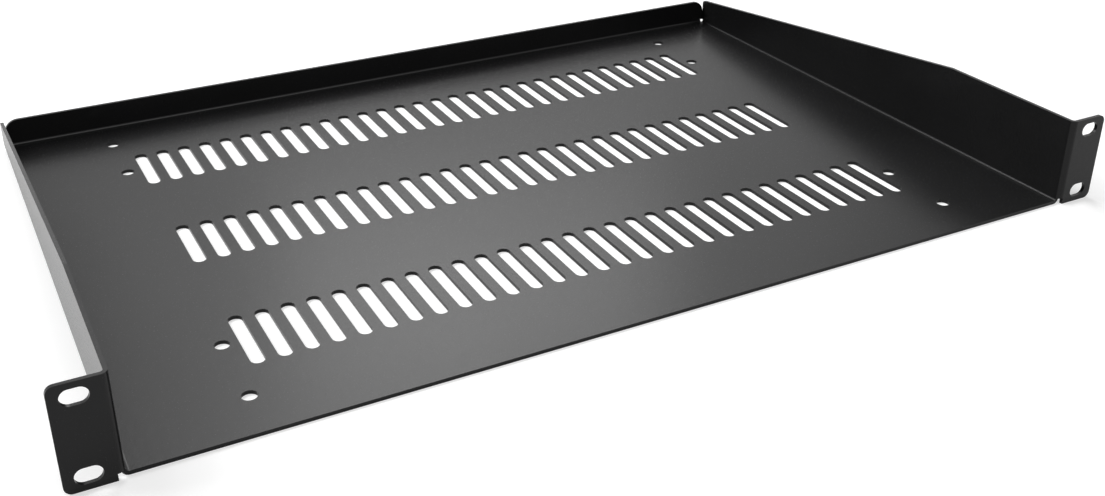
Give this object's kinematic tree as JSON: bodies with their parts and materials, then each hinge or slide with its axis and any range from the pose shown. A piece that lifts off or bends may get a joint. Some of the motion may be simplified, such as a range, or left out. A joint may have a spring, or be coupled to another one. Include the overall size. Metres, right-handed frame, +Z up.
{
  "type": "cantilever rack shelf",
  "caption": "One-unit cantilever rack shelf folded from one sheet: slotted floor, tapering side walls, low rear lip and two slotted rack ears.",
  "frame": {"origin": "centre of the four rack slots, on the rear faces of the ears, where the shelf meets the rack's front rails", "axes": "+X to the right as seen from the front, +Y to the back of the rack, +Z up"},
  "size_m": [0.4826, 0.3047, 0.0434],
  "materials": {
    "black_powder_coat": "fine-textured satin black powder coat"
  },
  "bodies": {
    "root": {"shelf": "black_powder_coat"}
  },
  "joints": []
}
